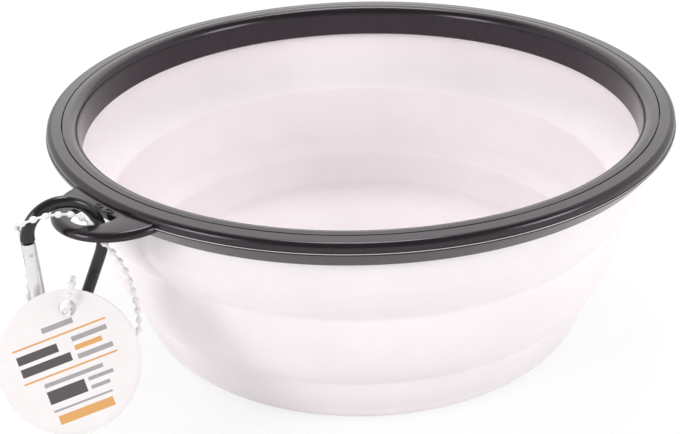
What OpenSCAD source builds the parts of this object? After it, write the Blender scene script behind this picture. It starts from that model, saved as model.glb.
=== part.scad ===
// Collapsible travel bowl: a soft cup in three tiers that folds up into a hard rim,
// with a hanging tab, a small snap carabiner and a round card tag on a string tie.
// The base stands on z = 0, +Z is up and the tab points along -X.

/* [Rim] */
// Outer diameter of the rim, over its ledge
rim_d = 183; // [172:1:204]
// Height of the band round the outside of the rim
rim_band_h = 7; // [6:0.1:9]
// Height of the upper part of the band, above its ledge
rim_upper_h = 2.4; // [2:0.1:3.2]
// How far the ledge stands out from the upper part of the band
rim_ledge = 0.6; // [0.2:0.1:1]
// How far the lower part leans in towards its bottom edge
rim_lean = 3.2; // [2:0.1:3.6]
// Radius of the rim's outer top edge
rim_round = 1.5; // [0.8:0.1:1.9]
// Width of the outer ring, from its ledge to the parting groove
rim_top_w = 5; // [4.6:0.1:7]
// Width of the parting groove between the two rings
groove_w = 0.5; // [0.2:0.1:0.8]
// Depth of the parting groove
groove_depth = 0.9; // [0.4:0.1:1.5]
// Width of the inner ring's top face, from the groove to the mouth
mouth_band_w = 4.5; // [4.2:0.1:7]
// Radius of the inner ring's edge at the mouth
mouth_round = 1.7; // [0.8:0.1:2]
// Thickness of the inner ring's top
plate_t = 2.2; // [2:0.1:3]
// How far the inner ring's skirt reaches down
skirt_h = 10; // [8:0.5:12]
// Wall of the skirt
skirt_t = 1.5; // [1:0.1:1.7]

/* [Bowl] */
// Wall of the soft tiers and of the floor
wall = 2; // [1.5:0.1:2.2]
// Wall in the middle of a fold
fold_wall = 1.3; // [0.8:0.1:1.5]
// Height of the lip that the rim clamps
lip_h = 1.6; // [1:0.1:2]
// How far the lip reaches into the outer ring
lip_reach = 1.7; // [1:0.1:2]
// Height from the rim's top down to the upper fold
upper_tier_h = 15.5; // [13:0.5:20]
// How much the upper tier draws in
upper_draft = 0.8; // [0:0.1:1.5]
// Height of the upper fold
upper_fold_h = 13.2; // [10:0.2:15]
// How far the upper fold steps in
upper_fold_in = 7.2; // [6:0.1:9]
// Swell of the upper fold
upper_fold_swell = 1.7; // [0:0.1:3]
// Height of the middle tier
middle_tier_h = 16.3; // [12:0.1:20]
// How much the middle tier draws in
middle_draft = 0.7; // [0:0.1:1.5]
// Swell of the middle tier at its ridge
middle_swell = 2.3; // [0:0.1:3]
// Height of the lower fold
lower_fold_h = 7.5; // [6:0.1:10]
// How far the lower fold steps in
lower_fold_in = 4.8; // [4.5:0.1:7]
// Swell of the lower fold
lower_fold_swell = 1; // [0:0.1:2]
// Height of the bottom tier, down to the base
base_tier_h = 15.5; // [12:0.5:22]
// How much the bottom tier draws in
base_draft = 3.2; // [1:0.1:6]
// Swell of the bottom tier
base_swell = 1.4; // [0:0.1:2]
// Radius of the corner round the base
base_corner_r = 4.5; // [3:0.5:7]

/* [Tab] */
// How far the tab reaches beyond the rim
tab_reach = 13.2; // [12:0.2:18]
// Radius of the tab's round outline
tab_round_r = 16.5; // [15:0.5:22]
// Thickness of the tab
tab_t = 2.1; // [1.8:0.1:2.6]
// How far the tab's top lies below the rim's top
tab_drop = 1.5; // [1.2:0.1:2]
// Radius of the tab's upper edge
tab_edge_r = 1.6; // [0.6:0.1:1.7]
// Radius of the half-moon hole
hole_r = 6.2; // [5.8:0.1:6.6]
// Width of the bar between the hole and the tab's edge
bar_w = 3.5; // [3:0.1:4.2]
// Width of the web between the hole and the rim
hole_web = 1.8; // [1.2:0.1:2.1]

/* [Carabiner] */
// Diameter of the carabiner's rod
rod_d = 3; // [2.4:0.1:3.4]
// Radius of the top arch, at the middle of the rod
arch_r = 8.4; // [7.8:0.1:9.5]
// Radius of the shoulder on the bowl's side
shoulder_r = 13; // [11:0.5:15]
// Radius of the bottom bend
bottom_r = 3; // [2.6:0.1:3.6]
// Diameter of the gate
gate_d = 3.6; // [3.2:0.1:4.2]
// Thickness of the flat tongues inside the gate
tongue_t = 1; // [0.8:0.1:1.2]
// Diameter of the gate's pivot pin
pivot_d = 1.2; // [1:0.1:1.4]
// Diameter of the gate's latch pin
latch_d = 0.9; // [0.7:0.05:1]
// Wire of the gate's spring
spring_wire_d = 0.3; // [0.2:0.05:0.35]
// Turns of the gate's spring
spring_turns = 14; // [8:1:14]

/* [Tag] */
// Diameter of the card tag
tag_d = 35; // [30:1:42]
// Thickness of the card
tag_t = 0.5; // [0.3:0.1:0.8]
// Diameter of the punched hole
tag_hole_d = 4; // [3.6:0.1:5]
// Distance from the tag's edge to the middle of the hole
tag_hole_inset = 4.5; // [4:0.1:6]
// Diameter of the string tie over its beads
tie_d = 1.6; // [1.2:0.1:1.8]
// Diameter of the tie's lock
lock_d = 3.2; // [2.6:0.1:3.4]
// Length of the tie's lock
lock_len = 6; // [5:0.5:7]

/* [Hidden] */
$fn = 96;

// Clearances and the overrun of cuts
fit_gap = 0.1;
pin_gap = 0.02;
run_gap = 0.05;
seam_gap = 0.04;
slot_gap = 0.2;
end_gap = 0.5;
over = 1;

// Levels above the base
base_tier_top = base_tier_h;
middle_low = base_tier_top + lower_fold_h;
middle_top = middle_low + middle_tier_h;
upper_low = middle_top + upper_fold_h;
rim_top = upper_low + upper_tier_h;

// Radii of the rim
rim_r = rim_d / 2;
groove_r = rim_r - rim_top_w;
mouth_r = groove_r - mouth_band_w;
skirt_out_r = mouth_r + skirt_t;
lip_top = rim_top - plate_t;
lip_low = lip_top - lip_h;
lip_r = groove_r + lip_reach;

// Outer radii of the soft wall, from the rim down
collar_r = groove_r - fit_gap;
upper_low_r = collar_r - upper_draft;
middle_top_r = upper_low_r - upper_fold_in;
middle_low_r = middle_top_r - middle_draft;
base_top_r = middle_low_r - lower_fold_in;
base_r = base_top_r - base_draft;
curve_steps = 8;

// Tab
tab_r = rim_r + tab_reach;
tab_top = rim_top - tab_drop;
tab_low = tab_top - tab_t;
tab_x = tab_round_r - tab_r;
hole_x = hole_r + bar_w - tab_r;
hole_in_r = rim_r + hole_web;

// Arch centre of the carabiner, which the hanging pieces are placed from.
// Its plane is turned a little from the tab's, and the tie lies between arch and bar.
hang_yaw = 157;
arch_lead = 0.45;
arch_side = 1.7;
tie_room = 2.5;
arch_x = bar_w / 2 - tab_r - arch_lead;
arch_z = tab_top + tie_d + tie_room - (arch_r - rod_d / 2);

// Carabiner outline in its own plane, as centres, angles and the straight spine
shoulder_angle = 150;
spine_angle = 205;
shoulder_c = (arch_r - shoulder_r) * [cos(shoulder_angle), sin(shoulder_angle)];
spine_top = shoulder_c + shoulder_r * [cos(spine_angle), sin(spine_angle)];
spine_dir = [-sin(spine_angle), cos(spine_angle)];
bend_x = arch_r - bottom_r;
spine_len = (bend_x + bottom_r * cos(spine_angle) - spine_top[0]) / spine_dir[0];
spine_low = spine_top + spine_len * spine_dir;
bend_z = spine_low[1] - bottom_r * sin(spine_angle);
arc_step = 10;
end_step = 1;
rod_sides = 12;

// Gate, its tongues and what is inside it
gate_r = gate_d / 2;
pivot_r = pivot_d / 2;
latch_r = latch_d / 2;
pivot_z = bend_z + gate_r + end_gap;
gate_top = -slot_gap;
slot_w = tongue_t + 2 * slot_gap;
tongue_half_w = 1.1;
latch_z = -2.9;
hook_low = -4.3;
latch_slot_low = hook_low - 3 * end_gap;
heel_r = 1.7;
heel_top = pivot_z + heel_r;
root_slot_top = heel_top + slot_gap;
bore_r = 0.85;
spring_room = 14.5;
bore_top = pivot_z + spring_room;
plunger_len = 2.4;
plunger_low = heel_top + run_gap;
spring_low = plunger_low + plunger_len + slot_gap;
spring_r = bore_r - fit_gap - spring_wire_d / 2;
spring_span = bore_top - slot_gap - spring_low - spring_wire_d;
rings_per_turn = 8;
wire_sides = 6;

// Tag, placed from the arch centre: the middle of the card and the way its face looks
tag_centre = [5.5, 13.8, -27];
tag_azimuth = 65;
tag_lean = 28;

// Route of the string tie, from the lock and back to it, placed from the arch centre
lock_top = [0.6, 3.6, -16.2];
tie_route = [
    lock_top - [0, 0, lock_len + fit_gap],
    [0.5, 3.6, -25], [-2, 4.6, -29.5], [-6, 5.6, -32.5], [-10.5, 6.6, -31.5],
    [-13.2, 7.3, -27.5], [-13.6, 7.4, -22], [-13.2, 7.2, -16.5], [-12.4, 6.8, -11],
    [-10.8, 5.9, -6.6], [-8.8, 4.4, -3.2], [-7.5, 3.1, -0.8], [-6.7, 2.65, 1.2],
    [-5.8, 2.6, 3], [-4.3, 2.6, 4.7], [-2.2, 2.65, 6], [0.5, 2.7, 6.6], [3.5, 2.8, 7],
    [6.5, 2.8, 6.8], [9.2, 2.2, 6], [10.5, 0.2, 5], [10.4, -2, 3.8], [9.4, -3, 1], [9.3, -3.2, -4],
    [9.5, -3.2, -10], [10.4, -3, -16], [11.6, -1.2, -20.5], [11.4, 2, -22.5],
    [8.5, 4.8, -22], [5.5, 6.2, -19.5], [3.4, 7.5, -16.6], [3, 9.2, -14.6],
    [2.4, 9.3, -12], [1.2, 7.4, -9.4], [0.1, 4.8, -9.7], [0.5, 3.6, -12.8],
    lock_top + [0, 0, fit_gap]
];
tie_steps = 2;
tie_sides = 8;

// Point at share t of a curve from p to q, drawn towards the control point c
function bend(p, c, q, t) = (1 - t) * (1 - t) * p + 2 * t * (1 - t) * c + t * t * q;

// Outline of a wall between two levels, swelling outwards by the given control offset
function wall_line(top, low, swell) = [
    for (i = [0 : curve_steps])
        bend(top, (top + low) / 2 + [swell, 0], low, i / curve_steps)
];

// Directions round a quarter turn, from outwards to upwards
function quarter(i) = [cos(90 * i / curve_steps), sin(90 * i / curve_steps)];

// Wall thickness along a fold, thin in the middle
function fold_t(i) = wall - (wall - fold_wall) * sin(180 * i / curve_steps);

// Points of a smooth curve through a route
function route_point(p, i, t) =
    let (a = p[max(i - 1, 0)], b = p[i], c = p[i + 1], d = p[min(i + 2, len(p) - 1)])
    b + t * (c - a) / 2 + t * t * (2 * a - 5 * b + 4 * c - d) / 2
      + t * t * t * (3 * b - a - 3 * c + d) / 2;

function smooth_route(p, steps) = concat(
    [for (i = [0 : len(p) - 2]) for (k = [0 : steps - 1]) route_point(p, i, k / steps)],
    [p[len(p) - 1]]
);

function unit(v) = v / norm(v);

function heading(p, i) = unit(p[min(i + 1, len(p) - 1)] - p[max(i - 1, 0)]);

// Sideways direction of each ring, carried along the route without twisting
function sideways(p) = [
    for (
        i = 0, s = unit(cross(heading(p, 0), [1, 0, 0]));
        i < len(p);
        i = i + 1, s = i < len(p) ? unit(s - (s * heading(p, i)) * heading(p, i)) : s
    ) s
];

// Closed tube of the given radius along a list of points
module tube(p, r, sides) {
    side = sideways(p);
    rings = [
        for (i = [0 : len(p) - 1])
            for (k = [0 : sides - 1])
                let (a = 360 * k / sides)
                p[i] + r * (cos(a) * side[i] + sin(a) * cross(heading(p, i), side[i]))
    ];
    last = (len(p) - 1) * sides;
    skin = [
        for (i = [0 : len(p) - 2])
            for (k = [0 : sides - 1])
                let (a = i * sides + k, b = i * sides + (k + 1) % sides)
                for (f = [[a, a + sides, b], [b, a + sides, b + sides]]) f
    ];
    caps = [
        for (k = [1 : sides - 2])
            for (f = [[0, k, k + 1], [last, last + k + 1, last + k]]) f
    ];
    polyhedron(rings, concat(skin, caps));
}

// Ring swept from a wall line, with one thickness for each of its points
module wall_ring(line, thickness) {
    inner = [for (i = [len(line) - 1 : -1 : 0]) line[i] - [thickness[i], 0]];
    rotate_extrude() polygon(concat(line, inner));
}

// Points of the rod's middle line, one arc after the other, with square ends at the gate
function arc_points(c, radius, angles) = [
    for (a = angles) [c[0] + radius * cos(a), 0, c[1] + radius * sin(a)]
];

function rod_line() = concat(
    arc_points([0, 0], arch_r, [0, end_step, for (a = [arc_step : arc_step : shoulder_angle]) a]),
    arc_points(shoulder_c, shoulder_r,
        [for (a = [shoulder_angle + arc_step : arc_step : spine_angle - arc_step]) a]),
    [[spine_top[0], 0, spine_top[1]]],
    arc_points([bend_x, bend_z], bottom_r,
        [for (a = [spine_angle : 2 * arc_step : 360 - arc_step]) a, 360 - end_step, 360])
);

// Places its children from the carabiner's arch centre: X outwards, Z up
module hanging() {
    translate([arch_x, arch_side, arch_z]) rotate([0, 0, hang_yaw]) children();
}

// Cylinder across the hanging plane
module cross_pin(r, len) {
    rotate([90, 0, 0]) cylinder(r = r, h = len, center = true);
}

// Block centred on X and Y, between two levels
module upright(w, t, z_low, z_top) {
    translate([-w / 2, -t / 2, z_low]) cube([w, t, z_top - z_low]);
}

module outer_rim_ring() {
    top_in = groove_r + groove_w / 2;
    low_in = groove_r + fit_gap;
    step_z = rim_top - rim_upper_h;
    low_z = rim_top - rim_band_h;
    side_r = rim_r - rim_ledge;
    edge = [side_r - rim_round, rim_top - rim_round];
    color("dimgray") rotate_extrude() polygon(concat(
        [[top_in, lip_top], [top_in, rim_top]],
        [for (i = [curve_steps : -1 : 0]) edge + rim_round * quarter(i)],
        [[side_r, step_z], [rim_r, step_z], [rim_r - rim_lean, low_z]],
        [[low_in, low_z], [low_in, lip_low], [lip_r, lip_low], [lip_r, lip_top]]
    ));
}

module inner_rim_ring() {
    top_out = groove_r - groove_w / 2;
    groove_z = rim_top - groove_depth;
    edge = [mouth_r + mouth_round, rim_top - mouth_round];
    color("dimgray") rotate_extrude() polygon(concat(
        [[mouth_r, rim_top - skirt_h], [skirt_out_r, rim_top - skirt_h], [skirt_out_r, lip_top]],
        [[groove_r, lip_top], [groove_r, groove_z], [top_out, groove_z], [top_out, rim_top]],
        [for (i = [curve_steps : -1 : 0]) edge + mouth_round * [-quarter(i)[0], quarter(i)[1]]]
    ));
}

// Round disc with a rounded upper edge, which the tab is cut from
module tab_disc() {
    edge = [tab_round_r - tab_edge_r, tab_top - tab_edge_r];
    rotate_extrude() polygon(concat(
        [[0, tab_low], [tab_round_r, tab_low]],
        [for (i = [0 : curve_steps]) edge + tab_edge_r * quarter(i)],
        [[0, tab_top]]
    ));
}

module hanging_tab() {
    color("dimgray") difference() {
        translate([tab_x, 0, 0]) tab_disc();
        translate([0, 0, tab_low - over]) cylinder(r = rim_r + run_gap, h = rim_band_h + over);
        difference() {
            translate([hole_x, 0, tab_low - over])
                cylinder(r = hole_r, h = tab_t + 2 * over);
            translate([0, 0, tab_low - 2 * over])
                cylinder(r = hole_in_r, h = tab_t + 2 * rim_band_h);
        }
    }
}

module bowl_collar() {
    lip_in = skirt_out_r + fit_gap;
    lip_out = lip_r - fit_gap;
    low_z = rim_top - rim_band_h;
    color("snow") rotate_extrude() polygon([
        [lip_in, lip_top], [lip_out, lip_top], [lip_out, lip_low],
        [collar_r, lip_low], [collar_r, low_z], [upper_low_r, upper_low],
        [upper_low_r - wall, upper_low], [collar_r - wall, low_z],
        [collar_r - wall, lip_low], [lip_in, lip_low]
    ]);
}

module upper_fold() {
    line = wall_line([upper_low_r, upper_low], [middle_top_r, middle_top + seam_gap],
        upper_fold_swell);
    color("whitesmoke") wall_ring(line, [for (i = [0 : curve_steps]) fold_t(i)]);
}

module middle_tier() {
    line = wall_line([middle_top_r, middle_top], [middle_low_r, middle_low], middle_swell);
    color("snow") wall_ring(line, [for (i = [0 : curve_steps]) wall]);
}

module lower_fold() {
    line = wall_line([middle_low_r, middle_low], [base_top_r, base_tier_top + seam_gap],
        lower_fold_swell);
    color("whitesmoke") wall_ring(line, [for (i = [0 : curve_steps]) fold_t(i)]);
}

module base_cup() {
    side = wall_line([base_top_r, base_tier_top], [base_r, base_corner_r], base_swell);
    corner_c = [base_r - base_corner_r, base_corner_r];
    inner_corner_r = base_corner_r - wall;
    arc = [for (i = [0 : curve_steps]) [cos(90 * i / curve_steps), -sin(90 * i / curve_steps)]];
    outer = concat(side, [for (a = arc) corner_c + base_corner_r * a], [[0, 0]]);
    inner = concat([for (p = side) p - [wall, 0]], [for (a = arc) corner_c + inner_corner_r * a]);
    color("snow") rotate_extrude()
        polygon(concat(outer, [[0, wall]], [for (i = [len(inner) - 1 : -1 : 0]) inner[i]]));
}

// Flat hook under the nose, with a notch that the latch pin slips out of when the gate opens
module nose_tongue() {
    notch_r = latch_r + fit_gap;
    difference() {
        upright(2 * tongue_half_w, tongue_t, hook_low, rod_d / 2);
        translate([0, 0, latch_z]) cross_pin(notch_r, tongue_t + over);
        translate([-tongue_half_w - over, -tongue_t, latch_z - notch_r])
            cube([tongue_half_w + over, 2 * tongue_t, 2 * notch_r]);
    }
}

// Flat tongue at the root, with a round heel and the bore of the pivot pin
module root_tongue() {
    difference() {
        union() {
            upright(2 * tongue_half_w, tongue_t, bend_z - rod_d / 2, pivot_z);
            translate([0, 0, pivot_z]) cross_pin(heel_r, tongue_t);
        }
        translate([0, 0, pivot_z]) cross_pin(pivot_r + run_gap, tongue_t + over);
    }
}

module carabiner_body() {
    color("black") hanging() {
        tube(rod_line(), rod_d / 2, rod_sides);
        translate([arch_r, 0, 0]) {
            nose_tongue();
            root_tongue();
        }
    }
}

module carabiner_gate() {
    color("silver") hanging() translate([arch_r, 0, 0]) difference() {
        union() {
            translate([0, 0, pivot_z]) cylinder(r = gate_r, h = gate_top - pivot_z);
            translate([0, 0, pivot_z]) sphere(gate_r);
        }
        upright(gate_d + over, slot_w, latch_slot_low, gate_top + over);
        upright(gate_d + over, slot_w, pivot_z - gate_d, root_slot_top);
        translate([0, 0, latch_z]) cross_pin(latch_r + pin_gap, gate_d + over);
        translate([0, 0, pivot_z]) cross_pin(pivot_r + pin_gap, gate_d + over);
        translate([0, 0, heel_top]) cylinder(r = bore_r, h = bore_top - heel_top);
    }
}

module gate_pivot_pin() {
    color("gray") hanging() translate([arch_r, 0, pivot_z]) cross_pin(pivot_r, gate_d);
}

module gate_latch_pin() {
    color("gray") hanging() translate([arch_r, 0, latch_z]) cross_pin(latch_r, gate_d - slot_gap);
}

module gate_plunger() {
    color("gray") hanging() translate([arch_r, 0, plunger_low])
        cylinder(r = bore_r - run_gap, h = plunger_len);
}

module gate_spring() {
    turns = [
        for (i = [0 : spring_turns * rings_per_turn])
            let (a = 360 * i / rings_per_turn, rise = i / (spring_turns * rings_per_turn))
            [spring_r * cos(a), spring_r * sin(a), spring_wire_d / 2 + spring_span * rise]
    ];
    color("lightgray") hanging() translate([arch_r, 0, spring_low])
        tube(turns, spring_wire_d / 2, wire_sides);
}

module tag_tie() {
    color("white") hanging() tube(smooth_route(tie_route, tie_steps), tie_d / 2, tie_sides);
}

module tie_lock() {
    groove_len = lock_len / 3;
    color("white") hanging() translate(lock_top - [0, 0, lock_len]) difference() {
        cylinder(d = lock_d, h = lock_len);
        translate([0, 0, groove_len]) difference() {
            cylinder(d = lock_d + over, h = groove_len / 2);
            translate([0, 0, -over]) cylinder(d = lock_d - tie_d / 2, h = groove_len + over);
        }
    }
}

module hang_tag() {
    color("seashell") hanging() translate(tag_centre)
        rotate([0, 0, tag_azimuth]) rotate([0, 90 - tag_lean, 0])
            translate([0, 0, -tag_t / 2]) difference() {
                cylinder(d = tag_d, h = tag_t);
                translate([tag_hole_inset - tag_d / 2, 0, -over])
                    cylinder(d = tag_hole_d, h = tag_t + 2 * over);
            }
}

outer_rim_ring();
hanging_tab();
inner_rim_ring();
bowl_collar();
upper_fold();
middle_tier();
lower_fold();
base_cup();
carabiner_body();
carabiner_gate();
gate_pivot_pin();
gate_latch_pin();
gate_plunger();
gate_spring();
tag_tie();
tie_lock();
hang_tag();
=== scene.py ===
"""Looks of a collapsible travel bowl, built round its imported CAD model.

Lengths are in millimetres and become metres where a mesh is made; the studio round the bowl
is written in metres. The silicone cup, the rim, the tab, the carabiner's rod, the string tie
with its lock and the card tag are modelled here. The gate and what is inside it are the CAD's
own solids with better finishes.
"""

import math

import bmesh
import bpy
from mathutils import Matrix, Vector
from mathutils.geometry import delaunay_2d_cdt


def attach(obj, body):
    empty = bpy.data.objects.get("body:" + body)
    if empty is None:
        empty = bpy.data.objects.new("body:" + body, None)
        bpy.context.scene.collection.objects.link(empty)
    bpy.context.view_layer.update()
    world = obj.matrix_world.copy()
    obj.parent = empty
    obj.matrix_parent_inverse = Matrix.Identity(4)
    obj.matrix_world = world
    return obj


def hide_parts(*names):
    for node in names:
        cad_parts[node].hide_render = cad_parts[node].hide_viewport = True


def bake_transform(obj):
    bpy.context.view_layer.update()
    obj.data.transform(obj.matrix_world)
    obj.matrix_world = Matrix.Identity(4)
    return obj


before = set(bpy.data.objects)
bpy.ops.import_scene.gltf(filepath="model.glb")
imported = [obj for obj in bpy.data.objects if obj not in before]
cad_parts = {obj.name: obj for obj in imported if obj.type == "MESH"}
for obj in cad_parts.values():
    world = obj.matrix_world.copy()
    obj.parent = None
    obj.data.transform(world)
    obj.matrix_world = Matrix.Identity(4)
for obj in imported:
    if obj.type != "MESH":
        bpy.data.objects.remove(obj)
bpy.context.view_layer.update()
MM = 0.001
NEAR_ZERO = 1e-6

# Camera, fitted to the ellipses of the rim and the base
CAMERA_PLACE = Vector((-218.526, -201.297, 187.256))
CAMERA_RIGHT = Vector((0.68202, -0.73074, -0.02934))
CAMERA_UP = Vector((0.36674, 0.30703, 0.87820))
CAMERA_LENS = 56.53
SENSOR_WIDTH = 36.0
CLIP_START = 10.0

# Levels and radii of the cup, as in the CAD
LIP_TOP, LIP_LOW = 65.8, 64.2
COLLAR_LOW = 61.0
UPPER_LOW, MIDDLE_TOP, MIDDLE_LOW, BASE_TOP = 52.5, 39.3, 23.0, 15.5
LIP_OUT_R, LIP_IN_R = 88.1, 83.6
COLLAR_R, UPPER_LOW_R = 86.4, 85.6
MIDDLE_TOP_R, MIDDLE_LOW_R = 78.4, 77.7
BASE_TOP_R, BASE_R = 72.9, 69.7
UPPER_SWELL, MIDDLE_SWELL, LOWER_SWELL, BASE_SWELL = 1.7, 2.3, 1.0, 1.4
BASE_CORNER_R = 4.5
WALL, FOLD_WALL = 2.0, 1.3

# Stretches of the wall from the collar down: levels, radii at them and swell between them
WALL_STRETCHES = [
    (COLLAR_LOW, UPPER_LOW, COLLAR_R, UPPER_LOW_R, 0),
    (UPPER_LOW, MIDDLE_TOP, UPPER_LOW_R, MIDDLE_TOP_R, UPPER_SWELL),
    (MIDDLE_TOP, MIDDLE_LOW, MIDDLE_TOP_R, MIDDLE_LOW_R, MIDDLE_SWELL),
    (MIDDLE_LOW, BASE_TOP, MIDDLE_LOW_R, BASE_TOP_R, LOWER_SWELL),
    (BASE_TOP, BASE_CORNER_R, BASE_TOP_R, BASE_R, BASE_SWELL),
]
FOLDS = [(UPPER_LOW, MIDDLE_TOP), (MIDDLE_LOW, BASE_TOP)]

# Mesh of the cup: the level where its two pieces meet, the turn under the lip, the spacing of
# points along the wall, and the height and samples over which the wall's corners are softened
SEAM_Z, LIP_TURN = 31.0, 0.2
WALL_STEP, SOFT_WIDTH, SOFT_SAMPLES = 0.4, 0.45, 4

# A fine pale line along the rim's ledge: a painted highlight, made as a thin silicone strip
LEDGE_HIGHLIGHT_R, LEDGE_HIGHLIGHT_W = 91.08, 0.05
LEDGE_HIGHLIGHT_PROUD, LEDGE_HIGHLIGHT_SUNK = 0.03, 0.3

# Rim, as in the CAD but for a finer groove and a fuller rounding at the mouth
RIM_R, UPPER_SIDE_R, BAND_LOW_R = 91.5, 90.9, 88.3
GROOVE_R, MOUTH_R = 86.5, 82.0
GROOVE_W, GROOVE_DEPTH = 0.24, 0.9
RIM_ROUND, MOUTH_ROUND = 1.5, 3.0
SKIRT_OUT_R, SKIRT_LOW = 83.5, 58.0
RIM_TOP, LEDGE_Z = 68.0, 65.6

# Tab, as in the CAD, with two small raised marks
TAB_X, TAB_ROUND_R = -88.2, 16.5
TAB_TOP, TAB_LOW = 66.5, 64.4
TAB_EDGE_R, TAB_SOFT = 1.6, 0.3
HOLE_X, HOLE_R, HOLE_IN_R = -95.0, 6.2, 93.3
TAB_ROOT_R = 88.4
MARK_X, MARK_Y, MARK_HALF, MARK_BEAD_R = -92.35, 2.15, (0.55, 1.25), 0.28

# Hanging frame of the carabiner, its tie and its tag: X outwards, Z up
HANG_PLACE = Vector((-103.4, 1.7, 63.7))
HANG_YAW = math.radians(157)

# Rod of the carabiner, with its bends as (x, z) and angles in degrees
ARCH_R, ROD_R = 8.4, 1.5
SHOULDER_C, SHOULDER_R = (3.984, -2.3), 13.0
BEND_C, BEND_R = (5.4, -29.0), 3.0
SHOULDER_ANGLE, SPINE_ANGLE, ROOT_ANGLE = 150, 205, 360
ROD_STEP, ROD_SIDES = 0.35, 24

# Flat tongues of the carabiner: the hook under its nose and the eye at its root
TONGUE_HALF_W, TONGUE_HALF_T, TONGUE_SOFT = 1.1, 0.5, 0.12
HOOK_TOP, HOOK_LOW = 1.2, -4.3
LATCH_Z, NOTCH = -2.9, 0.55
PIVOT_Z, HEEL_R, EYE_LOW = -26.7, 1.7, -30.2

# Card tag
TAG_PLACE = Vector((5.5, 13.8, -27.0))
TAG_AZIMUTH, TAG_LEAN = math.radians(65), math.radians(28)
TAG_R, TAG_T, TAG_HOLE_R, TAG_HOLE_UP = 17.5, 0.5, 2.0, 13.0

# Lock of the string tie, as shares of its radius, heights over its low end and roundings
LOCK_TOP, LOCK_LEN, LOCK_R = Vector((0.6, 3.6, -16.2)), 6.0, 1.6
LOCK_SHAPE = [
    (0, 0, 0), (0.72, 0, 0.3), (1, 0.9, 0.25), (1, 1.9, 0.15),
    (0.76, 2.05, 0.1), (0.76, 2.95, 0.1), (1, 3.1, 0.15),
    (1, 5.2, 0.35), (0.8, LOCK_LEN, 0.25), (0, LOCK_LEN, 0),
]

# String tie: its beads and its route from lock to lock, as in the CAD
TIE_D, TIE_STRING_R, TIE_PITCH = 1.6, 0.3, 2.9
TIE_ROUTE = [
    (0.6, 3.6, -22.3), (0.5, 3.6, -25), (-2, 4.6, -29.5), (-6, 5.6, -32.5),
    (-10.5, 6.6, -31.5), (-13.2, 7.3, -27.5), (-13.6, 7.4, -22), (-13.2, 7.2, -16.5),
    (-12.4, 6.8, -11), (-10.8, 5.9, -6.6), (-8.8, 4.4, -3.2), (-7.5, 3.1, -0.8),
    (-6.7, 2.65, 1.2), (-5.8, 2.6, 3), (-4.3, 2.6, 4.7), (-2.2, 2.65, 6), (0.5, 2.7, 6.6),
    (3.5, 2.8, 7), (6.5, 2.8, 6.8), (9.2, 2.2, 6), (10.5, 0.2, 5), (10.4, -2, 3.8), (9.4, -3, 1),
    (9.3, -3.2, -4), (9.5, -3.2, -10), (10.4, -3, -16), (11.6, -1.2, -20.5),
    (11.4, 2, -22.5), (8.5, 4.8, -22), (5.5, 6.2, -19.5), (3.4, 7.5, -16.6),
    (3, 9.2, -14.6), (2.4, 9.3, -12), (1.2, 7.4, -9.4), (0.1, 4.8, -9.7),
    (0.5, 3.6, -12.8), (0.6, 3.6, -16.1),
]

# Print on the tag's front: bars as (across, up, width, height, ink), turned on the card
CARD_UV = "card"
PRINT_TURN = math.radians(20)
ORANGE, DARK_INK, GREY_INK = (0.78, 0.4, 0.13), (0.1, 0.09, 0.095), (0.4, 0.38, 0.39)
PRINT_BARS = [
    (0.5, 9.2, 8, 1.3, GREY_INK),
    (0, 6.9, 24, 0.45, ORANGE),
    (-6.4, 4.3, 10.4, 2.1, DARK_INK), (-5.2, 1.2, 12.8, 2.1, DARK_INK),
    (7.1, 4.9, 9, 1.2, GREY_INK), (6.1, 2.7, 7, 1.2, ORANGE), (7.1, 0.5, 9, 1.2, GREY_INK),
    (0, -1.4, 24, 0.45, ORANGE),
    (0, -3.4, 15, 1, GREY_INK),
    (-2.8, -6.5, 9.6, 3.2, DARK_INK),
    (6.2, -5.4, 6.4, 0.9, GREY_INK), (5.4, -7.5, 4.8, 0.9, GREY_INK),
    (0, -9.9, 15, 0.5, GREY_INK),
    (0, -12.3, 14, 2.2, ORANGE),
]

# Studio in metres: an even white light, a backdrop that is dim overhead on the camera's side,
# a white floor, and soft boxes as (name, place, aim, size, power)
AMBIENT = 0.66
ROOM_SIDE = (-0.304, -0.292, 0.907)
ROOM_EDGE = (0.47, 0.71)
ROOM_LEVEL = 0.15
FLOOR_HALF, FLOOR_GLOW, FLOOR_BOUNCE = 4.0, 0.75, 0.93
FLOOR_ROUGH, FLOOR_SPECULAR = 0.9, 0.1
SOFT_BOXES = [
    ("top_box", (0.25, 0.23, 1.0), (0, 0, 0.05), 0.35, 3.4),
    ("back_box", (0.62, 0.58, 0.5), (0, 0, 0.05), 0.8, 1.6),
    ("left_box", (-0.82, 0.17, 0.42), (0, 0, 0.06), 0.3, 2.1),
    ("right_box", (0.24, -0.8, 0.42), (0, 0, 0.06), 0.3, 2.1),
]

# Meshes and materials in general
TURN_STEPS = 192
EDGE_STEPS = 5
SHARP_ANGLE = math.radians(50)
NOISE_MIDDLE = (0.3, 0.7)
GRAINS_PER_CLOUD = 12
hang = Matrix.Translation(HANG_PLACE) @ Matrix.Rotation(HANG_YAW, 4, "Z")


def add_camera():
    """The camera at the photograph's place."""
    camera = bpy.data.objects.new("camera", bpy.data.cameras.new("camera"))
    bpy.context.scene.collection.objects.link(camera)
    camera.data.lens = CAMERA_LENS
    camera.data.sensor_width = SENSOR_WIDTH
    camera.data.sensor_fit = "HORIZONTAL"
    camera.data.clip_start = CLIP_START * MM
    back = CAMERA_RIGHT.cross(CAMERA_UP)
    turn = Matrix((CAMERA_RIGHT, CAMERA_UP, back)).transposed()
    camera.matrix_world = Matrix.Translation(CAMERA_PLACE * MM) @ turn.to_4x4()
    bpy.context.scene.camera = camera


# Materials


def new_material(name):
    """A material, its node tree and its Principled shader."""
    made = bpy.data.materials.new(name)
    made.use_nodes = True
    tree = made.node_tree
    return made, tree, tree.nodes["Principled BSDF"]


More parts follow.
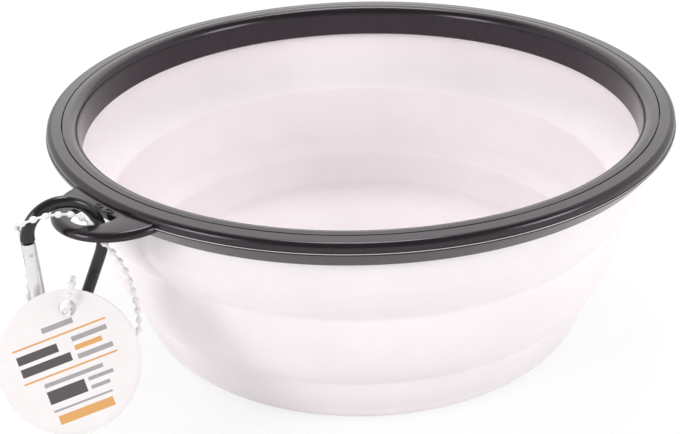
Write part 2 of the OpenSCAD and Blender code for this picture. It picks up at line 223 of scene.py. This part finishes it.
def noise(tree, scale, detail=3.0, stretch=(1, 1, 1)):
    """Noise in the model's frame, with features of about one over scale metres."""
    place = tree.nodes.new("ShaderNodeTexCoord")
    mapping = tree.nodes.new("ShaderNodeMapping")
    mapping.inputs["Scale"].default_value = stretch
    made = tree.nodes.new("ShaderNodeTexNoise")
    made.inputs["Scale"].default_value = scale
    made.inputs["Detail"].default_value = detail
    tree.links.new(place.outputs["Object"], mapping.inputs["Vector"])
    tree.links.new(mapping.outputs["Vector"], made.inputs["Vector"])
    return made.outputs["Fac"]


def spread(tree, value, low, high):
    """The middle of a noise's range, spread from low to high."""
    made = tree.nodes.new("ShaderNodeMapRange")
    made.inputs["From Min"].default_value = NOISE_MIDDLE[0]
    made.inputs["From Max"].default_value = NOISE_MIDDLE[1]
    made.inputs["To Min"].default_value = low
    made.inputs["To Max"].default_value = high
    tree.links.new(value, made.inputs["Value"])
    return made.outputs["Result"]


def tint(tree, value, low, high):
    """A colour between two, by a value."""
    made = tree.nodes.new("ShaderNodeMix")
    made.data_type = "RGBA"
    made.inputs["A"].default_value = (*low, 1)
    made.inputs["B"].default_value = (*high, 1)
    tree.links.new(value, made.inputs["Factor"])
    return made.outputs["Result"]


def math_node(tree, operation, *values):
    """A Math node of constants and links."""
    made = tree.nodes.new("ShaderNodeMath")
    made.operation = operation
    for socket, value in zip(made.inputs, values):
        if isinstance(value, bpy.types.NodeSocket):
            tree.links.new(value, socket)
        else:
            socket.default_value = value
    return made.outputs[0]


def bump(tree, shader, height, strength, distance):
    """Fine relief on a shader."""
    made = tree.nodes.new("ShaderNodeBump")
    made.inputs["Strength"].default_value = strength
    made.inputs["Distance"].default_value = distance * MM
    tree.links.new(height, made.inputs["Height"])
    tree.links.new(made.outputs["Normal"], shader.inputs["Normal"])


def grained(name, low, high, rough, grain, relief, metal=0.0, specular=0.5, stretch=(1, 1, 1),
            gloss_tint=(1, 1, 1)):
    """A moulded or drawn finish: two close colours, uneven roughness and a fine grain.

    relief is the strength and the depth of the grain, and grain its count in a metre."""
    made, tree, shader = new_material(name)
    shader.inputs["Metallic"].default_value = metal
    shader.inputs["Specular IOR Level"].default_value = specular
    shader.inputs["Specular Tint"].default_value = (*gloss_tint, 1)
    clouds = spread(tree, noise(tree, grain / GRAINS_PER_CLOUD), 0, 1)
    fine = noise(tree, grain, detail=2.0, stretch=stretch)
    tree.links.new(tint(tree, clouds, low, high), shader.inputs["Base Color"])
    tree.links.new(spread(tree, fine, *rough), shader.inputs["Roughness"])
    bump(tree, shader, fine, *relief)
    return made


def printed_card():
    """Coated card with plain printed bars, placed by the card's own UV map."""
    made = grained(
        "printed_card", low=(0.9, 0.85, 0.855), high=(0.93, 0.88, 0.885), rough=(0.5, 0.62),
        grain=2400, relief=(0.1, 0.03),
    )
    tree = made.node_tree
    shader = tree.nodes["Principled BSDF"]
    colour = shader.inputs["Base Color"].links[0].from_socket
    place = tree.nodes.new("ShaderNodeUVMap")
    place.uv_map = CARD_UV
    middle = Matrix.Rotation(-PRINT_TURN, 3, "Z") @ Vector((TAG_R, TAG_R, 0))
    turn = tree.nodes.new("ShaderNodeMapping")
    turn.inputs["Location"].default_value = -middle
    turn.inputs["Rotation"].default_value = (0, 0, -PRINT_TURN)
    turn.inputs["Scale"].default_value = (2 * TAG_R, 2 * TAG_R, 1)
    parts = tree.nodes.new("ShaderNodeSeparateXYZ")
    tree.links.new(place.outputs["UV"], turn.inputs["Vector"])
    tree.links.new(turn.outputs["Vector"], parts.inputs["Vector"])
    for across, up, width, height, ink in PRINT_BARS:
        column = math_node(tree, "COMPARE", parts.outputs["X"], across, width / 2)
        row = math_node(tree, "COMPARE", parts.outputs["Y"], up, height / 2)
        layer = tree.nodes.new("ShaderNodeMix")
        layer.data_type = "RGBA"
        layer.inputs["B"].default_value = (*ink, 1)
        tree.links.new(math_node(tree, "MULTIPLY", column, row), layer.inputs["Factor"])
        tree.links.new(colour, layer.inputs["A"])
        colour = layer.outputs["Result"]
    tree.links.new(colour, shader.inputs["Base Color"])
    return made


RIM_PLASTIC = grained(
    "rim_plastic", low=(0.0138, 0.0122, 0.0138), high=(0.0156, 0.0138, 0.0156),
    rough=(0.18, 0.24), grain=2600, relief=(0.015, 0.03), gloss_tint=(1, 0.86, 0.97),
)
SILICONE = grained(
    "silicone", low=(0.92, 0.86, 0.885), high=(0.94, 0.885, 0.907), rough=(0.5, 0.62),
    grain=900, relief=(0.08, 0.05), specular=0.35,
)
BLACK_COAT = grained(
    "black_coat", low=(0.01, 0.01, 0.011), high=(0.016, 0.016, 0.017), rough=(0.14, 0.24),
    grain=2200, relief=(0.06, 0.03),
)
GATE_METAL = grained(
    "gate_metal", low=(0.78, 0.77, 0.78), high=(0.86, 0.85, 0.86), rough=(0.26, 0.4),
    grain=1800, relief=(0.1, 0.04), metal=1.0, stretch=(1, 1, 0.08),
)
PIN_STEEL = grained(
    "pin_steel", low=(0.56, 0.56, 0.57), high=(0.66, 0.66, 0.67), rough=(0.25, 0.4),
    grain=2500, relief=(0.1, 0.03), metal=1.0,
)
TIE_NYLON = grained(
    "tie_nylon", low=(0.86, 0.85, 0.84), high=(0.92, 0.91, 0.9), rough=(0.28, 0.4),
    grain=1500, relief=(0.06, 0.03),
)
PRINTED_CARD = printed_card()


# Shapes


def rounded(corners, steps, guard):
    """Closed outline through corners (x, y, radius), each with its own rounding.

    A point at the guard's distance beside each rounding keeps the shading of the flats even."""
    points = []
    for i, (x, y, radius) in enumerate(corners):
        here = Vector((x, y))
        before = (Vector(corners[i - 1][:2]) - here).normalized()
        after = (Vector(corners[(i + 1) % len(corners)][:2]) - here).normalized()
        if not radius:
            points.append(here)
            continue
        half = before.angle(after) / 2
        reach = radius / math.tan(half)
        middle = here + (before + after).normalized() * radius / math.sin(half)
        start, end = here + before * reach, here + after * reach
        first = math.atan2(start.y - middle.y, start.x - middle.x)
        turn = math.atan2(end.y - middle.y, end.x - middle.x) - first
        turn = (turn + math.pi) % math.tau - math.pi
        points.append(start + before * guard)
        for k in range(steps + 1):
            a = first + turn * k / steps
            points.append(middle + radius * Vector((math.cos(a), math.sin(a))))
        points.append(end + after * guard)
    return points


def arc(middle, radius, start, end, steps):
    """Points of an arc, its angles in radians."""
    angles = [start + (end - start) * k / steps for k in range(steps + 1)]
    return [Vector((middle[0] + radius * math.cos(a), middle[1] + radius * math.sin(a)))
            for a in angles]


def lathe(profile, steps=TURN_STEPS):
    """Vertices and faces of a closed (r, z) outline turned round the Z axis."""
    vertices, faces, rings = [], [], []
    for r, z in profile:
        if r < NEAR_ZERO:
            rings.append([len(vertices)] * steps)
            vertices.append((0, 0, z))
            continue
        rings.append(range(len(vertices), len(vertices) + steps))
        for k in range(steps):
            a = math.tau * k / steps
            vertices.append((r * math.cos(a), r * math.sin(a), z))
    for i, ring in enumerate(rings):
        other = rings[(i + 1) % len(rings)]
        for k in range(steps):
            n = (k + 1) % steps
            face = list(dict.fromkeys((ring[k], ring[n], other[n], other[k])))
            if len(face) > 2:
                faces.append(face)
    return vertices, faces


def sweep(points, radii, sides):
    """Vertices and faces of a closed round tube along points, with a radius at each."""
    points = [Vector(p) for p in points]
    vertices, faces = [], []
    side = Vector((0, 1, 0))
    for i, p in enumerate(points):
        ahead = (points[min(i + 1, len(points) - 1)] - points[max(i - 1, 0)]).normalized()
        side = (side - ahead * side.dot(ahead)).normalized()
        other = ahead.cross(side)
        for k in range(sides):
            a = math.tau * k / sides
            vertices.append(p + radii[i] * (math.cos(a) * side + math.sin(a) * other))
    for i in range(len(points) - 1):
        for k in range(sides):
            n = (k + 1) % sides
            faces.append((i * sides + k, i * sides + n, (i + 1) * sides + n, (i + 1) * sides + k))
    last = (len(points) - 1) * sides
    faces.append(tuple(range(sides)))
    faces.append(tuple(range(last, last + sides)))
    return vertices, faces


def shrunk(loop, inset):
    """A closed outline moved inwards, with mitred corners."""
    area = sum(p.x * loop[i - 1].y - p.y * loop[i - 1].x for i, p in enumerate(loop))
    inwards = inset if area < 0 else -inset
    made = []
    for i, p in enumerate(loop):
        before = (p - loop[i - 1]).normalized()
        after = (loop[(i + 1) % len(loop)] - p).normalized()
        along = (before + after) / (1 + before.dot(after))
        made.append(p + Vector((-along.y, along.x)) * inwards)
    return made


def inside(point, loop):
    """True if a point is inside an outline."""
    crossings = 0
    for i, p in enumerate(loop):
        q = loop[i - 1]
        if (p.y > point.y) != (q.y > point.y):
            crossings += point.x < p.x + (q.x - p.x) * (point.y - p.y) / (q.y - p.y)
    return crossings % 2 == 1


def plate(outlines, z_low, z_top):
    """Vertices and faces of a flat plate with rounded edges.

    outlines are functions of an inset, with the radii of their upper and lower edges: the
    first runs round the plate, the others round its holes."""
    turns = [math.pi / 2 * k / EDGE_STEPS for k in range(EDGE_STEPS + 1)]
    vertices, faces, caps = [], [], ([], [])
    for outline, upper, lower in outlines:
        levels = [(upper * (1 - math.sin(a)), z_top - upper * (1 - math.cos(a))) for a in turns]
        levels += [(lower * (1 - math.sin(a)), z_low + lower * (1 - math.cos(a)))
                   for a in reversed(turns)]
        rings = []
        for inset, z in levels:
            loop = outline(inset)
            count = len(loop)
            rings.append(range(len(vertices), len(vertices) + count))
            vertices += [(p.x, p.y, z) for p in loop]
        for ring, other in zip(rings, rings[1:]):
            for k in range(count):
                n = (k + 1) % count
                faces.append((ring[k], ring[n], other[n], other[k]))
        caps[0].append(list(rings[0]))
        caps[1].append(list(rings[-1]))
    for cap in caps:
        faces += cap_faces(vertices, cap)
    return vertices, faces


def cap_faces(vertices, rings):
    """Triangles of a flat face inside its first ring of vertices and outside the others."""
    whole_hull = 0
    index = [v for ring in rings for v in ring]
    where = {v: i for i, v in enumerate(index)}
    flat = [Vector(vertices[v][:2]) for v in index]
    edges = [(where[ring[k]], where[ring[k - 1]]) for ring in rings for k in range(len(ring))]
    spots, _, triangles, sources = delaunay_2d_cdt(flat, edges, [], whole_hull, NEAR_ZERO)[:4]
    outer, *holes = [[flat[where[v]] for v in ring] for ring in rings]
    faces = []
    for face in triangles:
        middle = sum((spots[v] for v in face), Vector((0, 0))) / len(face)
        if inside(middle, outer) and not any(inside(middle, hole) for hole in holes):
            faces.append(tuple(index[sources[v][0]] for v in face))
    return faces


def joined(*shapes):
    """Several closed shapes as one list of vertices and one of faces."""
    vertices, faces = [], []
    for more, others in shapes:
        start = len(vertices)
        vertices += list(more)
        faces += [tuple(start + v for v in f) for f in others]
    return vertices, faces


def moved(shape, matrix):
    """The shape with its vertices put in place by a matrix."""
    return [matrix @ Vector(v) for v in shape[0]], shape[1]


def add_piece(name, shape, material, slot, *replaced):
    """A smooth mesh from millimetres, with a material, that stands for CAD nodes."""
    mesh = bpy.data.meshes.new(name)
    mesh.from_pydata([tuple(x * MM for x in v) for v in shape[0]], [], shape[1])
    work = bmesh.new()
    work.from_mesh(mesh)
    bmesh.ops.recalc_face_normals(work, faces=work.faces)
    work.to_mesh(mesh)
    work.free()
    mesh.shade_smooth()
    mesh.set_sharp_from_angle(angle=SHARP_ANGLE)
    mesh.materials.append(material)
    piece = bpy.data.objects.new(name, mesh)
    bpy.context.scene.collection.objects.link(piece)
    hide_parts(*replaced)
    return piece


# String tie, its lock and the tag


def smooth_route(route, steps):
    """Points of a smooth curve through a route."""
    p = [Vector(x) for x in route]
    made = []
    for i in range(len(p) - 1):
        a, b, c, d = p[max(i - 1, 0)], p[i], p[i + 1], p[min(i + 2, len(p) - 1)]
        for k in range(steps):
            t = k / steps
            made.append(b + t * (c - a) / 2 + t * t * (2 * a - 5 * b + 4 * c - d) / 2
                        + t ** 3 * (3 * b - a - 3 * c + d) / 2)
    return made + [p[-1]]


def even(points, step):
    """The same line with points one step apart."""
    made, left = [points[0]], step
    for a, b in zip(points, points[1:]):
        length, done = (b - a).length, 0.0
        while length - done >= left:
            done += left
            made.append(a.lerp(b, done / length))
            left = step
        left -= length - done
    return made


def relaxed(points, reach):
    """The same line with each point averaged with those beside it, its ends kept."""
    made = []
    for i in range(len(points)):
        side = min(reach, i, len(points) - 1 - i)
        near = points[i - side:i + side + 1]
        made.append(sum(near, Vector((0, 0, 0))) / len(near))
    return made


def tie_radius(along):
    """Radius of the tie at a distance along it: oval beads on a thin string."""
    bead_half, fullness = 0.9, 2.6
    off = (along + TIE_PITCH / 2) % TIE_PITCH - TIE_PITCH / 2
    if abs(off) >= bead_half:
        return TIE_STRING_R
    swell = (1 - abs(off / bead_half) ** fullness) ** 0.5
    return max(TIE_STRING_R, TIE_D / 2 * swell)


def add_tie():
    """The beaded tie, its ends tucked into its lock."""
    curve_steps, ring_step, sides, tuck, ease = 12, 0.16, 12, 0.4, 10
    line = relaxed(even(smooth_route(TIE_ROUTE, curve_steps), ring_step), ease)
    line = [line[0] + Vector((0, 0, tuck)), *line, line[-1] - Vector((0, 0, tuck))]
    radii = [tie_radius(i * ring_step) for i in range(len(line))]
    tie = add_piece("string_tie", moved(sweep(line, radii, sides), hang),
                    TIE_NYLON, "tie_plastic", "tag_tie")
    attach(tie, "carabiner")
    lock = add_lock()


def add_lock():
    """The tie's lock: a small barrel with a waist and a tapered tip."""
    steps, guard, sides = 4, 0.03, 32
    low = LOCK_TOP.z - LOCK_LEN
    profile = rounded([(LOCK_R * share, low + up, radius) for share, up, radius in LOCK_SHAPE],
                      steps, guard)
    shape = moved(lathe(profile, sides), hang @ Matrix.Translation((LOCK_TOP.x, LOCK_TOP.y, 0)))
    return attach(add_piece("tie_lock_barrel", shape, TIE_NYLON, "tie_plastic", "tie_lock"),
                   "carabiner")


def add_tag():
    """The card disc with its punched hole; its front carries plain printed bars."""
    steps, rows, edge, facing = 160, 14, 0.08, 0.9
    hole = Vector((-TAG_HOLE_UP, 0))
    half = TAG_T / 2
    rings = [(0.0, half - edge), *((k / rows, half) for k in range(rows + 1)), (1.0, half - edge)]
    rings += [(t, -z) for t, z in reversed(rings)]
    vertices, faces = [], []
    for t, z in rings:
        middle = hole.lerp(Vector((0, 0)), t)
        soft = edge if abs(z) == half and t in (0.0, 1.0) else 0.0
        r = TAG_HOLE_R + (TAG_R - TAG_HOLE_R) * t + (soft if t == 0.0 else -soft)
        for k in range(steps):
            a = math.tau * k / steps
            vertices.append((middle.x + r * math.cos(a), middle.y + r * math.sin(a), z))
    for i in range(len(rings)):
        for k in range(steps):
            n, j = (k + 1) % steps, (i + 1) % len(rings)
            faces.append((i * steps + k, i * steps + n, j * steps + n, j * steps + k))
    turn = (Matrix.Translation(TAG_PLACE) @ Matrix.Rotation(TAG_AZIMUTH, 4, "Z")
            @ Matrix.Rotation(math.pi / 2 - TAG_LEAN, 4, "Y"))
    tag = add_piece("card_tag", moved((vertices, faces), hang @ turn),
                    PRINTED_CARD, "tag_card", "hang_tag")
    layer = tag.data.uv_layers.new(name=CARD_UV)
    front = (hang @ turn).to_3x3() @ Vector((0, 0, 1))
    for face in tag.data.polygons:
        shown = face.normal.dot(front) > facing
        for loop in face.loop_indices:
            x, y, _ = vertices[tag.data.loops[loop].vertex_index]
            spot = (0.5 + y / (2 * TAG_R), 0.5 - x / (2 * TAG_R)) if shown else (0, 0)
            layer.data[loop].uv = spot
    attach(tag, "tag")


# Silicone cup


def bow(z, top, low, top_r, low_r, swell):
    """Radius at a level of a wall that swells between two levels."""
    t = (top - z) / (top - low)
    middle = (top_r + low_r) / 2 + swell
    return (1 - t) ** 2 * top_r + 2 * t * (1 - t) * middle + t * t * low_r


def wall_radius(z):
    """Outer radius of the cup's wall at a level."""
    if z >= COLLAR_LOW:
        return COLLAR_R
    for stretch in WALL_STRETCHES:
        if z >= stretch[1]:
            return bow(z, *stretch)
    rise = BASE_CORNER_R - max(z, 0)
    return BASE_R - BASE_CORNER_R + math.sqrt(BASE_CORNER_R ** 2 - rise ** 2)


def inner_radius(z):
    """Inner radius of the wall at a level; the wall is thin in the folds."""
    for top, low in FOLDS:
        if low < z < top:
            thinner = (WALL - FOLD_WALL) * math.sin(math.pi * (top - z) / (top - low))
            return wall_radius(z) - (WALL - thinner)
    return wall_radius(z) - WALL


def softened(radius, z):
    """A radius averaged over a small height, so that the wall's corners are soft."""
    reach = 2 * SOFT_SAMPLES
    offsets = [k / SOFT_SAMPLES for k in range(-reach, reach + 1)]
    weights = [math.exp(-t ** 2 / 2) for t in offsets]
    return sum(radius(z + t * SOFT_WIDTH) * w for t, w in zip(offsets, weights)) / sum(weights)


def wall_line(radius, start, end):
    """Points along one face of the wall, from one level to another."""
    count = round(abs(end - start) / WALL_STEP)
    levels = [start + (end - start) * k / count for k in range(count + 1)]
    return [Vector((softened(radius, z), z)) for z in levels]


def add_cup_upper():
    """The cup from its lip to the smooth wall of the middle tier, with a pale strip on the rim's
    ledge that is a painted highlight.
    """
    wall_top = LIP_LOW - LIP_TURN
    wall = [Vector((LIP_IN_R, LIP_TOP)), Vector((LIP_OUT_R, LIP_TOP)),
            Vector((LIP_OUT_R, LIP_LOW)), Vector((COLLAR_R, LIP_LOW))]
    wall += wall_line(wall_radius, wall_top, SEAM_Z) + wall_line(inner_radius, SEAM_Z, wall_top)
    wall += [Vector((COLLAR_R - WALL, LIP_LOW)), Vector((LIP_IN_R, LIP_LOW))]
    # A thin pale strip sunk in the rim's ledge, a painted highlight
    highlight_low, highlight_top = LEDGE_Z - LEDGE_HIGHLIGHT_SUNK, LEDGE_Z + LEDGE_HIGHLIGHT_PROUD
    highlight_out = LEDGE_HIGHLIGHT_R + LEDGE_HIGHLIGHT_W
    highlight_ring = [Vector((LEDGE_HIGHLIGHT_R, highlight_low)), Vector((highlight_out, highlight_low)),
                 Vector((highlight_out, highlight_top)), Vector((LEDGE_HIGHLIGHT_R, highlight_top))]
    cup = add_piece("cup_upper", joined(lathe(wall), lathe(highlight_ring)), SILICONE, "silicone",
                    "bowl_collar", "upper_fold", "middle_tier")
    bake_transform(cup)


def add_cup_lower():
    """The cup from the smooth wall of the middle tier to its flat base."""
    arc_steps, floor_rings = 8, 10
    corner = Vector((BASE_R - BASE_CORNER_R, BASE_CORNER_R))
    quarter = [math.pi / 2 * k / arc_steps for k in range(1, arc_steps + 1)]
    wall = wall_line(wall_radius, SEAM_Z, BASE_CORNER_R)
    wall += [corner + BASE_CORNER_R * Vector((math.cos(a), -math.sin(a))) for a in quarter]
    wall += [Vector((corner.x * (1 - k / floor_rings), 0)) for k in range(1, floor_rings + 1)]
    wall += [Vector((corner.x * k / floor_rings, WALL)) for k in range(floor_rings)]
    wall += [corner + (BASE_CORNER_R - WALL) * Vector((math.cos(a), -math.sin(a)))
             for a in reversed(quarter)]
    wall += wall_line(inner_radius, BASE_CORNER_R, SEAM_Z)
    base = add_piece("cup_lower", lathe(wall), SILICONE, "silicone", "lower_fold", "base_cup")
    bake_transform(base)


# Rim and tab


def add_rim():
    """The outer ring with its bullnose and stepped band, and the inner ring with its skirt."""
    steps, guard, lip_gap = 8, 0.05, 0.1
    groove_round, ledge_round, skirt_round = 0.15, 0.12, 0.4
    band_top_round, band_low_round, band_in_round = 0.3, 0.4, 0.2
    groove_out, groove_in = GROOVE_R + GROOVE_W / 2, GROOVE_R - GROOVE_W / 2
    outer = rounded([
        (groove_out, LIP_TOP, 0), (groove_out, RIM_TOP, groove_round),
        (UPPER_SIDE_R, RIM_TOP, RIM_ROUND), (UPPER_SIDE_R, LEDGE_Z, ledge_round),
        (RIM_R, LEDGE_Z, band_top_round), (BAND_LOW_R, COLLAR_LOW, band_low_round),
        (GROOVE_R + lip_gap, COLLAR_LOW, band_in_round), (GROOVE_R + lip_gap, LIP_LOW, 0),
        (LIP_OUT_R + lip_gap, LIP_LOW, 0), (LIP_OUT_R + lip_gap, LIP_TOP, 0),
    ], steps, guard)
    inner = rounded([
        (MOUTH_R, SKIRT_LOW, skirt_round), (SKIRT_OUT_R, SKIRT_LOW, skirt_round),
        (SKIRT_OUT_R, LIP_TOP, 0), (GROOVE_R, LIP_TOP, 0),
        (GROOVE_R, RIM_TOP - GROOVE_DEPTH, 0), (groove_in, RIM_TOP - GROOVE_DEPTH, 0),
        (groove_in, RIM_TOP, groove_round), (MOUTH_R, RIM_TOP, MOUTH_ROUND),
    ], steps, guard)
    for name, profile, node in (("rim_outer", outer, "outer_rim_ring"),
                                ("rim_inner", inner, "inner_rim_ring")):
        ring = add_piece(name, lathe(profile), RIM_PLASTIC, "rim_plastic", node)
        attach(ring, "rim")


def meeting(r1, x2, r2):
    """Angles, from each centre, at which circles round (0, 0) and (x2, 0) meet above the X axis."""
    x = (r1 * r1 - r2 * r2 + x2 * x2) / (2 * x2)
    y = math.sqrt(r1 * r1 - x * x)
    return math.atan2(y, x), math.atan2(y, x - x2)


def tab_outline(inset):
    """The tab's round edge, closed by a root that stays inside the ring."""
    edge_steps, root_steps = 96, 24
    root, edge = meeting(TAB_ROOT_R, TAB_X, TAB_ROUND_R - inset)
    return (arc((TAB_X, 0), TAB_ROUND_R - inset, edge, math.tau - edge, edge_steps)
            + arc((0, 0), TAB_ROOT_R, math.tau - root, root, root_steps)[1:-1])


def tab_hole(inset):
    """The half-moon hole: a round side towards the bar, a side along the rim."""
    bar_steps, web_steps = 64, 16
    web, side = meeting(HOLE_IN_R - inset, HOLE_X, HOLE_R + inset)
    return (arc((HOLE_X, 0), HOLE_R + inset, side, math.tau - side, bar_steps)
            + arc((0, 0), HOLE_IN_R - inset, math.tau - web, web, web_steps)[1:-1])


def oval_ring(x, y, half_x, half_y, bead_r):
    """A plain raised oval, half sunk in the tab's top."""
    steps, sides = 40, 8
    vertices, faces = [], []
    for k in range(steps):
        a = math.tau * k / steps
        for j in range(sides):
            t = math.tau * j / sides
            out = bead_r * math.cos(t)
            vertices.append((x + (half_x + out) * math.cos(a), y + (half_y + out) * math.sin(a),
                             TAB_TOP + bead_r * math.sin(t)))
    for k in range(steps):
        n = (k + 1) % steps
        for j in range(sides):
            m = (j + 1) % sides
            faces.append((k * sides + j, n * sides + j, n * sides + m, k * sides + m))
    return vertices, faces


def add_tab():
    """The tab: a plate with a rounded upper edge and a half-moon hole, rooted in the ring."""
    sheet = plate([(tab_outline, TAB_EDGE_R, TAB_SOFT), (tab_hole, TAB_SOFT, TAB_SOFT)],
                  TAB_LOW, TAB_TOP)
    marks = [oval_ring(MARK_X, y, *MARK_HALF, MARK_BEAD_R) for y in (-MARK_Y, MARK_Y)]
    tab = add_piece("tab_plate", joined(sheet, *marks), RIM_PLASTIC, "rim_plastic", "hanging_tab")
    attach(tab, "rim")


# Carabiner


def rod_line():
    """Points along the middle of the carabiner's rod, from the nose to the root."""
    same_place = 0.01
    flat = []
    for middle, radius, start, end, steps in (
        ((0, 0), ARCH_R, 0, SHOULDER_ANGLE, 60),
        (SHOULDER_C, SHOULDER_R, SHOULDER_ANGLE, SPINE_ANGLE, 24),
        (BEND_C, BEND_R, SPINE_ANGLE, ROOT_ANGLE, 36),
    ):
        points = arc(middle, radius, math.radians(start), math.radians(end), steps)
        apart = not flat or (points[0] - flat[-1]).length > same_place
        flat += points if apart else points[1:]
    return even([Vector((x, 0, z)) for x, z in flat], ROD_STEP)


def rod_radius(along, left):
    """Radius of the rod: a flared nose at its start, chamfered ends."""
    chamfer, flare, flare_len = 0.35, 0.3, 4.5
    nose = max(0.0, 1 - along / flare_len)
    end = max(0.0, 1 - min(along, left) / chamfer)
    return ROD_R + flare * nose * nose * (3 - 2 * nose) - chamfer * end


def tongue(outline):
    """A flat tongue in the hanging plane, cut to an outline of (x, z)."""
    edge = (lambda inset: shrunk(outline, inset), TONGUE_SOFT, TONGUE_SOFT)
    vertices, faces = plate([edge], -TONGUE_HALF_T, TONGUE_HALF_T)
    return [(x, -z, y) for x, y, z in vertices], faces


def hook_outline():
    """The flat hook under the nose, with the notch for the gate's latch pin."""
    notch_round, inner_round, outer_round, steps, guard = 0.15, 0.4, 0.5, 4, 0.03
    x_in, x_out = ARCH_R - TONGUE_HALF_W, ARCH_R + TONGUE_HALF_W
    return rounded([
        (x_in, HOOK_TOP, 0), (x_in, LATCH_Z + NOTCH, notch_round), (ARCH_R, LATCH_Z + NOTCH, 0),
        (ARCH_R + NOTCH, LATCH_Z, 0), (ARCH_R, LATCH_Z - NOTCH, 0),
        (x_in, LATCH_Z - NOTCH, notch_round), (x_in, HOOK_LOW, inner_round),
        (x_out, HOOK_LOW, outer_round), (x_out, HOOK_TOP, 0),
    ], steps, guard)


def eye_outline():
    """The flat eye at the root, round about the gate's pivot."""
    drop_share, steps = 0.75, 32
    below = math.asin(drop_share)
    return [Vector((ARCH_R - TONGUE_HALF_W, EYE_LOW)), Vector((ARCH_R + TONGUE_HALF_W, EYE_LOW)),
            *arc((ARCH_R, PIVOT_Z), HEEL_R, -below, math.pi + below, steps)]


def add_carabiner():
    """The bent rod with the flat hook under its nose and the flat eye at its root."""
    line = rod_line()
    length = (len(line) - 1) * ROD_STEP
    radii = [rod_radius(i * ROD_STEP, length - i * ROD_STEP) for i in range(len(line))]
    shape = joined(sweep(line, radii, ROD_SIDES), tongue(hook_outline()), tongue(eye_outline()))
    body = add_piece("carabiner_rod", moved(shape, hang), BLACK_COAT, "black_metal",
                     "carabiner_body")
    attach(body, "carabiner")


def finish_gate():
    """Finishes of the gate and of what is inside it, which keep the CAD's own shapes."""
    for name, finish in (("carabiner_gate", GATE_METAL), ("gate_pivot_pin", PIN_STEEL),
                         ("gate_latch_pin", PIN_STEEL), ("gate_plunger", PIN_STEEL),
                         ("gate_spring", PIN_STEEL)):
        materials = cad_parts[name].data.materials
        materials.clear()
        materials.append(finish)


# Stage


def seen_directly(tree):
    """1 for rays that come straight from the camera, or by a reflection or through glass."""
    path = tree.nodes.new("ShaderNodeLightPath")
    seen = path.outputs["Is Camera Ray"]
    for other in ("Is Glossy Ray", "Is Transmission Ray"):
        seen = math_node(tree, "MAXIMUM", seen, path.outputs[other])
    return seen


def add_world():
    """A white studio: even soft light, and a backdrop that is dim where the room is unlit."""
    world = bpy.data.worlds.new("studio")
    bpy.context.scene.world = world
    world.use_nodes = True
    tree = world.node_tree
    light = tree.nodes["Background"]
    place = tree.nodes.new("ShaderNodeTexCoord")
    towards = tree.nodes.new("ShaderNodeVectorMath")
    towards.operation = "DOT_PRODUCT"
    towards.inputs[1].default_value = ROOM_SIDE
    tree.links.new(place.outputs["Generated"], towards.inputs[0])
    backdrop = tree.nodes.new("ShaderNodeMapRange")
    backdrop.interpolation_type = "SMOOTHSTEP"
    backdrop.inputs["From Min"].default_value = ROOM_EDGE[0]
    backdrop.inputs["From Max"].default_value = ROOM_EDGE[1]
    backdrop.inputs["To Min"].default_value = 1.0
    backdrop.inputs["To Max"].default_value = ROOM_LEVEL
    tree.links.new(towards.outputs["Value"], backdrop.inputs["Value"])
    strength = tree.nodes.new("ShaderNodeMix")
    strength.inputs["A"].default_value = AMBIENT
    tree.links.new(seen_directly(tree), strength.inputs["Factor"])
    tree.links.new(backdrop.outputs["Result"], strength.inputs["B"])
    light.inputs["Color"].default_value = (1, 1, 1, 1)
    tree.links.new(strength.outputs["Result"], light.inputs["Strength"])


def add_floor():
    """A plain white floor that keeps a soft shadow."""
    half = FLOOR_HALF
    mesh = bpy.data.meshes.new("floor")
    mesh.from_pydata([(-half, -half, 0), (half, -half, 0), (half, half, 0), (-half, half, 0)],
                     [], [(0, 1, 2, 3)])
    floor = bpy.data.objects.new("floor", mesh)
    bpy.context.scene.collection.objects.link(floor)
    made, tree, shader = new_material("floor_white")
    shader.inputs["Roughness"].default_value = FLOOR_ROUGH
    shader.inputs["Specular IOR Level"].default_value = FLOOR_SPECULAR
    shader.inputs["Emission Color"].default_value = (1, 1, 1, 1)
    seen = seen_directly(tree)
    colour = tint(tree, seen, [FLOOR_BOUNCE] * 3, [1 - FLOOR_GLOW] * 3)
    glow = math_node(tree, "MULTIPLY", seen, FLOOR_GLOW)
    tree.links.new(colour, shader.inputs["Base Color"])
    tree.links.new(glow, shader.inputs["Emission Strength"])
    mesh.materials.append(made)


def add_lamp(name, place, aim, size, power):
    """A square soft box."""
    lamp = bpy.data.objects.new(name, bpy.data.lights.new(name, "AREA"))
    lamp.data.shape = "SQUARE"
    lamp.data.size = size
    lamp.data.energy = power
    lamp.location = place
    lamp.rotation_mode = "QUATERNION"
    lamp.rotation_quaternion = (Vector(aim) - Vector(place)).to_track_quat("-Z", "Y")
    bpy.context.scene.collection.objects.link(lamp)


add_camera()
add_tie()
add_tag()
add_cup_upper()
add_cup_lower()
add_rim()
add_tab()
add_carabiner()
finish_gate()
add_world()
add_floor()
for box in SOFT_BOXES:
    add_lamp(*box)
bpy.context.scene.view_settings.view_transform = "Standard"
